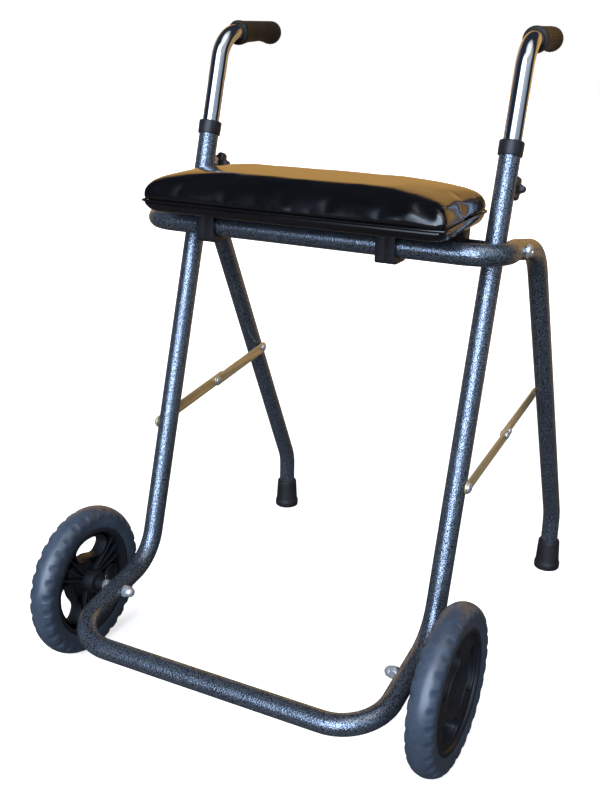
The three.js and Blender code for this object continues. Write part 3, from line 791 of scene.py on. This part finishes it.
    rivet = join(f"brace_post_rivet_{side}_v", dome("a", 6.8, 4.0, V(s * 221.8, ay, az), out, ZINC), shank(208, 221.8, (ay, az)))
    done(rivet, "front_frame", "zinc", f"brace_post_rivet_{side}")
    rivet = join(f"brace_mid_rivet_{side}_v", dome("a", 5.6, 3.4, V(s * 221.8, *mid), out, ZINC), dome("b", 5.6, 3.0, V(s * 215.9, *mid), -out, ZINC),
                 shank(215.9, 221.8, mid))
    done(rivet, f"brace_front_{side}", "zinc", f"brace_mid_rivet_{side}")
    rivet = join(f"brace_stop_rivet_{side}_v", dome("a", 4.4, 2.6, V(s * 221.8, *stop), out, ZINC), shank(219.1, 221.8, stop, 2.0))
    done(rivet, f"brace_front_{side}", "zinc", f"brace_stop_rivet_{side}")
    rivet = join(f"brace_leg_rivet_{side}_v", dome("a", 5.6, 3.0, V(s * 215.9, by, bz), -out, ZINC), shank(215.9, 219.1, (by, bz)))
    done(rivet, f"brace_rear_{side}", "zinc", f"brace_leg_rivet_{side}")

# ---------------------------------------------------------------------- seat
SEAT_HALF, SEAT_BACK_HALF, SEAT_FRONT, SEAT_BACK = 196.4, 190.5, -150.0, 12.0
ZB, ZT = 600.3, 636.3


def plan_loop(inset, r, n=10, z=0.0):
    """The seat's outline in plan, set in, its corners rounded by r."""
    front, back = SEAT_HALF - inset, SEAT_BACK_HALF - inset
    y0, y1 = SEAT_FRONT + inset, SEAT_BACK - inset
    pts = []
    corners = [(-front, y0), (front, y0), (back, y1), (-back, y1)]
    for i, c in enumerate(corners):
        c = Vector((*c, 0))
        a = Vector((*corners[i - 1], 0))
        b = Vector((*corners[(i + 1) % 4], 0))
        p = c + (a - c).normalized() * r
        q = c + (b - c).normalized() * r
        for k in range(n + 1):
            t = k / n
            w = p * (1 - t) ** 2 + c * 2 * t * (1 - t) + q * t * t
            pts.append(V(w.x, w.y, z))
    return pts


# board wrapped in the same vinyl, drawn in towards its underside
rows = [plan_loop(22, 18, 12, 600.0), plan_loop(3.6, 7, 12, 600.0), plan_loop(2.6, 8, 12, 598.9), plan_loop(2.6, 12, 12, 596.0), plan_loop(3.2, 18, 12, 592.5),
        plan_loop(4.4, 21, 12, 590.0), plan_loop(6.6, 22, 12, 588.7), plan_loop(12, 22, 12, 588.4)]
verts = [v for row in rows for v in row]
n = len(rows[0])
faces = []
for j in range(len(rows) - 1):
    for k in range(n):
        k2 = (k + 1) % n
        faces.append((j * n + k, (j + 1) * n + k, (j + 1) * n + k2, j * n + k2))
faces.append(tuple(range(n)))
faces.append(tuple((len(rows) - 1) * n + k for k in range(n)))
board = obj("seat_board_v", verts, faces, VINYL, 50)
done(board, "rear_frame", "vinyl", "seat_board")


def cushion_point(u, v, top):
    """A point of the pad for u, v in -1..1; its sides rise steeply from the seam, its corners are drawn out."""
    y = (SEAT_FRONT + SEAT_BACK) / 2 + v * (SEAT_BACK - SEAT_FRONT) / 2
    half = SEAT_HALF + (SEAT_BACK_HALF - SEAT_HALF) * (y - SEAT_FRONT) / (SEAT_BACK - SEAT_FRONT)
    x = u * half
    # the seam is drawn in a little between the corners
    x *= 1 - 0.009 * (1 - v * v)
    y -= math.copysign(1.6, v) * abs(v) ** 3 * (1 - u * u)
    corner = abs(u * v) ** 14
    x -= math.copysign(3.6, u) * corner
    y -= math.copysign(3.6, v) * corner
    if not top:
        return x, y, ZB
    dx = (1 - abs(u)) * half
    dy = (1 - abs(v)) * (SEAT_BACK - SEAT_FRONT) / 2

    def rise(d, run, power):
        t = min(1.0, d / run)
        return (1 - (1 - t) ** power) ** (1 / power)

    fx = 0.58 * rise(dx, 16, 2.2) + 0.42 * rise(dx, 66, 2.0)
    fy = rise(dy, 34 if v < 0 else 40, 2.5)
    f = (fx ** -3 + fy ** -3 - 1) ** (-1 / 3) if fx > 0.02 and fy > 0.02 else fx * fy
    crown = 0.90 + 0.10 * (1 - u * u) * (1 - v * v)
    z = ZB + 2.0 + (ZT - 1.2 - ZB - 2.0) * f * crown
    # gathers running out of each corner
    du, dv = (1 - abs(u)) * half, dy
    near = math.exp(-((du + dv) / 34.0) ** 2)
    ang = math.atan2(dv + 0.5, du + 0.5)
    pull = (0.2 + 1.6 * math.cos(ang) ** 1.5) * near * min(1, (du + dv) / 6) * (1.0 if u > 0 else 0.35)
    z += pull * math.sin(ang * 17 + 1.7 * math.copysign(1, u) + 0.8 * math.copysign(1, v) + 0.11 * (du + dv))
    # slack in the front face, towards its ends
    if v < 0:
        slack = math.exp(-(dy / 15) ** 2) * min(1, dy / 3) * min(1, dx / 12)
        y += 1.25 * slack * (math.sin(2 * math.pi * (x - 112) / 50) * math.exp(-((x - 158) / 34) ** 2)
                             + 0.05 * math.sin(2 * math.pi * (x + 60) / 64) * math.exp(-((x - 40) / 60) ** 2))
    return x, y, z


nu, nv = 150, 80
verts, faces, idx = [], [], {}


def spread(t):
    return math.copysign(1 - (1 - abs(t)) ** 1.7, t)


for layer in (0, 1):
    for i in range(nu + 1):
        for j in range(nv + 1):
            edge = i in (0, nu) or j in (0, nv)
            if layer and edge:
                idx[1, i, j] = idx[0, i, j]
                continue
            x, y, z = cushion_point(spread(-1 + 2 * i / nu), spread(-1 + 2 * j / nv), layer == 0)
            idx[layer, i, j] = len(verts)
            verts.append(V(x, y, ZB + 1.0 if (edge and layer == 0) else z))
for layer in (0, 1):
    for i in range(nu):
        for j in range(nv):
            f = [idx[layer, i, j], idx[layer, i + 1, j], idx[layer, i + 1, j + 1], idx[layer, i, j + 1]]
            faces.append(tuple(f if layer == 0 else f[::-1]))
cushion = obj("seat_cushion_v", verts, faces, VINYL, 80)
remesh = cushion.modifiers.new("remesh", "REMESH")
remesh.mode = "VOXEL"
remesh.voxel_size = 0.004
remesh.use_smooth_shade = True
bpy.context.view_layer.update()
fine = bpy.data.meshes.new_from_object(cushion.evaluated_get(bpy.context.evaluated_depsgraph_get()))
cushion.modifiers.clear()
old = cushion.data
cushion.data = fine
bpy.data.meshes.remove(old)
before = [v.co.copy() for v in fine.vertices]
pins = cushion.vertex_groups.new(name="pins")
for v in fine.vertices:
    if v.co.z < (ZB + 3.4) * MM:
        pins.add([v.index], 1.0, "REPLACE")
cloth = cushion.modifiers.new("cloth", "CLOTH")
st = cloth.settings
st.quality = 6
st.mass = 0.3
st.tension_stiffness = 40
st.compression_stiffness = 14
st.shear_stiffness = 14
st.bending_stiffness = 8.0
st.use_pressure = True
st.uniform_pressure_force = 4.0
st.vertex_group_mass = "pins"
st.shrink_min = -0.004
st.effector_weights.gravity = 0.0
cloth.collision_settings.use_collision = False
cloth.point_cache.frame_start = 1
cloth.point_cache.frame_end = 20
for f in range(1, 21):
    SCENE.frame_set(f)
bpy.context.view_layer.update()
blown = bpy.data.meshes.new_from_object(cushion.evaluated_get(bpy.context.evaluated_depsgraph_get()))
cushion.modifiers.clear()
SCENE.frame_set(1)
cap = 0.005
for v, b in zip(blown.vertices, before):
    move = v.co - b
    if move.length > cap:
        v.co = b + move.normalized() * cap
    v.co.z = min(max(v.co.z, ZB * MM), 0.6385)
old = cushion.data
cushion.data = blown
bpy.data.meshes.remove(old)
cushion.data.materials.clear()
cushion.data.materials.append(VINYL)
cushion.data.polygons.foreach_set("use_smooth", [True] * len(cushion.data.polygons))
smooth = cushion.modifiers.new("ease", "SMOOTH")
smooth.factor = 0.5
smooth.iterations = 5
sub = cushion.modifiers.new("sub", "SUBSURF")
sub.levels = 1
sub.render_levels = 1
done(cushion, "rear_frame", "vinyl", "seat_cushion")

# welt along the seam, following the drawn-in outline
loop = []
for a0, a1, fixed, along in ((-1, 1, -1, "x"), (-1, 1, 1, "y"), (1, -1, 1, "x"), (1, -1, -1, "y")):
    for k in range(70):
        t = a0 + (a1 - a0) * k / 70
        t = math.copysign(1 - (1 - abs(t)) ** 1.4, t)
        u, v = (t, fixed) if along == "x" else (fixed, t)
        x, y, z = cushion_point(u, v, False)
        loop.append(V(x, y, ZB + 0.9))
curve = bpy.data.curves.new("welt", "CURVE")
curve.dimensions = "3D"
curve.bevel_depth = 0.0014
curve.bevel_resolution = 4
sp = curve.splines.new("POLY")
sp.points.add(len(loop) - 1)
for pt, p in zip(sp.points, loop):
    pt.co = (*p, 1)
sp.use_cyclic_u = True
tmp = bpy.data.objects.new("welt_c", curve)
SCENE.collection.objects.link(tmp)
bpy.context.view_layer.update()
welt_mesh = bpy.data.meshes.new_from_object(tmp.evaluated_get(bpy.context.evaluated_depsgraph_get()))
bpy.data.objects.remove(tmp)
welt_mesh.materials.clear()
welt_mesh.materials.append(VINYL)
welt_mesh.polygons.foreach_set("use_smooth", [True] * len(welt_mesh.polygons))
welt = bpy.data.objects.new("seat_welt_v", welt_mesh)
SCENE.collection.objects.link(welt)
done(welt, "rear_frame", "vinyl")

# clips on the seat bar, with a moulded centre groove
for side, x0 in (("left", -133.25), ("right", 107.25)):
    top = 588.1 - BAR[1]
    foot_of = [(-17.6, -13), (-17.2, -15.5), (-16, -17.2), (-14, -18.1), (-12, -18.3)]
    shape = [(18, top), (-18, top)] + foot_of + [(-y, z) for y, z in foot_of[::-1]]
    halves = []
    for a, b in ((x0 - 12.25, x0 - 0.6), (x0 + 0.6, x0 + 12.25)):
        halves.append(plate(f"h{a}", shape, [circle(13.1, 40)], a, b, BLACK, 0.9, BAR))
    inset = [(y * 0.965, z * 0.965 if z < 0 else z) for y, z in shape]
    halves.append(plate("core", inset, [circle(13.1, 40)], x0 - 3, x0 + 3, BLACK, 0.2, BAR))
    done(join(f"seat_clip_{side}_v", *halves), "rear_frame", "black_plastic", f"seat_clip_{side}")
for side, s in SIDES:
    top = 588.1 - PIVOT[1]
    shape = [(13, top), (-18, top)]
    shape += [(10.4 * math.cos(math.pi + math.pi * k / 20), (4 if k in (0, 20) else 0) + 10.4 * math.sin(math.pi + math.pi * k / 20)) for k in range(21)]
    saddle = plate(f"seat_saddle_{side}_v", shape, [circle(6.8, 32)], s * 143, s * 171, BLACK, 0.8, PIVOT)
    done(saddle, "rear_frame", "black_plastic", f"seat_saddle_{side}")

# --------------------------------------------------- camera, light and floor
cam_data = bpy.data.cameras.new("camera")
cam_data.sensor_fit = "AUTO"
cam_data.sensor_width = 36.0
cam_data.lens = 1062.813 * 36.0 / 792.0
cam = bpy.data.objects.new("camera", cam_data)
SCENE.collection.objects.link(cam)
fwd = Vector((-0.43274318, 0.83726749, -0.33424017))
right = Vector((0.88569571, 0.46400381, 0.01560711))
up = Vector((-0.16815603, 0.28928121, 0.9423587))
cam.matrix_world = Matrix(((right.x, up.x, -fwd.x, 0.57137), (right.y, up.y, -fwd.y, -1.20280), (right.z, up.z, -fwd.z, 0.81011), (0, 0, 0, 1)))
SCENE.camera = cam

floor_mesh = bpy.data.meshes.new("floor")
floor_mesh.from_pydata([(-12, -12, 0), (12, -12, 0), (12, 12, 0), (-12, 12, 0)], [], [(0, 1, 2, 3)])
floor = bpy.data.objects.new("floor", floor_mesh)
SCENE.collection.objects.link(floor)
m = Nodes("floor")
path = m.tree.nodes.new("ShaderNodeLightPath")
pale = m.ramp(m.noise(3.0, 2.0), (0.3, (0.80, 0.80, 0.80)), (0.7, (0.83, 0.83, 0.83)))
far = m.n("VectorMath", {"operation": "LENGTH"})
m.put(far.inputs[0], m.coord)
lift = m.n("MapRange", Value=far.outputs["Value"], From_Min=0.7, From_Max=2.0, To_Min=0.62, To_Max=1.1)
# rays other than the camera's see painted light in the floor colour: dark painted shade in front of the frame and a lit
# tan wood tone behind it, so that light shows in the reflections on tubes and chrome
split = m.n("SeparateXYZ", Vector=m.coord)
behind = m.span(split.outputs["Y"], 0.0, 1.0, 0.3, 1.6)
shaded_floor_front = m.ramp(m.noise(2.2, 3.0), (0.3, (0.055, 0.05, 0.047)), (0.7, (0.075, 0.068, 0.062)))
wood_and_painted_light = m.mix(behind, shaded_floor_front, (0.52, 0.33, 0.175, 1))
m.set(
    Base_Color=m.mix(path.outputs["Is Camera Ray"], wood_and_painted_light, pale),
    Roughness=0.9,
    Specular_IOR_Level=0.0,
    Emission_Color=(1, 1, 1, 1),
    Emission_Strength=m.math("MULTIPLY", lift.outputs["Result"], path.outputs["Is Camera Ray"]),
)
floor_mesh.materials.append(m.mat)

# world: white to the camera; a dim room with a warm bright wall behind the frame to everything else
world = bpy.data.worlds.new("studio")
SCENE.world = world
world.use_nodes = True
wt = world.node_tree
wt.nodes.clear()


def wn(kind, **props):
    node = wt.nodes.new("ShaderNode" + kind)
    for key, value in props.items():
        setattr(node, key, value)
    return node


def wmap(value, a, b, lo, hi):
    node = wn("MapRange")
    node.interpolation_type = "SMOOTHSTEP"
    wt.links.new(value, node.inputs["Value"])
    for key, val in (("From Min", a), ("From Max", b), ("To Min", lo), ("To Max", hi)):
        node.inputs[key].default_value = val
    return node.outputs["Result"]


def wmul(a, b):
    node = wn("Math", operation="MULTIPLY")
    wt.links.new(a, node.inputs[0])
    wt.links.new(b, node.inputs[1])
    return node.outputs[0]


direction = wn("TexCoord").outputs["Generated"]
sep = wn("SeparateXYZ")
wt.links.new(direction, sep.inputs[0])


def toward(x, y, z):
    """Cosine of the angle between the ray and a direction."""
    node = wn("VectorMath", operation="DOT_PRODUCT")
    wt.links.new(direction, node.inputs[0])
    node.inputs[1].default_value = Vector((x, y, z)).normalized()
    return node.outputs["Value"]


def wadd(a, b):
    node = wn("Mix", data_type="RGBA", blend_type="ADD")
    node.inputs[0].default_value = 1.0
    wt.links.new(a, node.inputs[6])
    wt.links.new(b, node.inputs[7])
    return node.outputs[2]


def patch(fac, colour):
    node = wn("Mix", data_type="RGBA")
    wt.links.new(fac, node.inputs[0])
    node.inputs[6].default_value = (0, 0, 0, 1)
    node.inputs[7].default_value = (*colour, 1)
    return node.outputs[2]


wall = wmul(wmap(toward(-0.21, 0.98, 0.0), 0.44, 0.72, 0.0, 1.0), wmap(sep.outputs["Z"], 0.60, 0.40, 0.0, 1.0))
room = wn("Mix", data_type="RGBA")
wt.links.new(wmap(sep.outputs["Z"], -0.2, 0.8, 0.0, 1.0), room.inputs[0])
room.inputs[6].default_value = (0.013, 0.015, 0.020, 1)
room.inputs[7].default_value = (0.022, 0.028, 0.042, 1)
level = wn("VectorMath", operation="MULTIPLY")
wt.links.new(direction, level.inputs[0])
level.inputs[1].default_value = (1, 1, 0)
flat = wn("VectorMath", operation="NORMALIZE")
wt.links.new(level.outputs[0], flat.inputs[0])


def window(x, y, outer, inner, low, high):
    """A soft-edged upright window: outer and inner are half widths in degrees, low and high bound the height."""
    node = wn("VectorMath", operation="DOT_PRODUCT")
    wt.links.new(flat.outputs[0], node.inputs[0])
    node.inputs[1].default_value = Vector((x, y, 0)).normalized()
    across = wmap(node.outputs["Value"], math.cos(math.radians(outer)), math.cos(math.radians(inner)), 0.0, 1.0)
    return wmul(across, wmul(wmap(sep.outputs["Z"], *low, 0.0, 1.0), wmap(sep.outputs["Z"], *high, 0.0, 1.0)))


total = wadd(room.outputs[2], patch(wall, (0.64, 0.355, 0.095)))
total = wadd(total, patch(window(0.145, -0.989, 34, 12, (-0.14, 0.04), (0.92, 0.70)), (3.5, 4.2, 5.3)))
total = wadd(total, patch(window(0.90, -0.43, 42, 18, (-0.20, 0.05), (0.60, 0.35)), (0.27, 0.33, 0.41)))
total = wadd(total, patch(window(0.84, -0.54, 64, 30, (0.28, 0.55), (1.2, 1.1)), (0.42, 0.43, 0.44)))
total = wadd(total, patch(wmap(toward(0.30, -0.15, 0.95), 0.87, 0.96, 0.0, 1.0), (0.70, 0.72, 0.75)))
total = wadd(total, patch(window(-0.97, 0.22, 34, 14, (-0.20, 0.05), (0.70, 0.40)), (0.060, 0.075, 0.115)))
dim = wn("Background")
wt.links.new(total, dim.inputs[0])
white = wn("Background")
white.inputs[0].default_value = (1, 1, 1, 1)
white.inputs[1].default_value = 1.0
mixw = wn("MixShader")
wt.links.new(wn("LightPath").outputs["Is Camera Ray"], mixw.inputs[0])
wt.links.new(dim.outputs[0], mixw.inputs[1])
wt.links.new(white.outputs[0], mixw.inputs[2])
wt.links.new(mixw.outputs[0], wn("OutputWorld").inputs[0])


def area(name, at, look, size_x, size_y, power, colour=(1, 1, 1)):
    data = bpy.data.lights.new(name, "AREA")
    data.shape = "RECTANGLE"
    data.size = size_x
    data.size_y = size_y
    data.energy = power
    data.color = colour
    o = bpy.data.objects.new(name, data)
    SCENE.collection.objects.link(o)
    o.location = at
    o.rotation_euler = (Vector(look) - Vector(at)).to_track_quat("-Z", "Y").to_euler()
    return o


for lamp in (
    area("window_left", (-1.3, -2.4, 1.9), (0, 0, 0.45), 1.6, 1.9, 46, (0.90, 0.95, 1.0)),
    area("window_front", (0.6, -3.2, 2.0), (0, 0, 0.5), 1.2, 1.4, 38, (0.93, 0.97, 1.0)),
    area("top", (-0.3, 0.2, 3.2), (0, 0, 0.3), 1.8, 1.8, 20, (0.97, 0.98, 1.0)),
):
    lamp.visible_glossy = False

SCENE.view_settings.view_transform = "Standard"
SCENE.view_settings.look = "None"
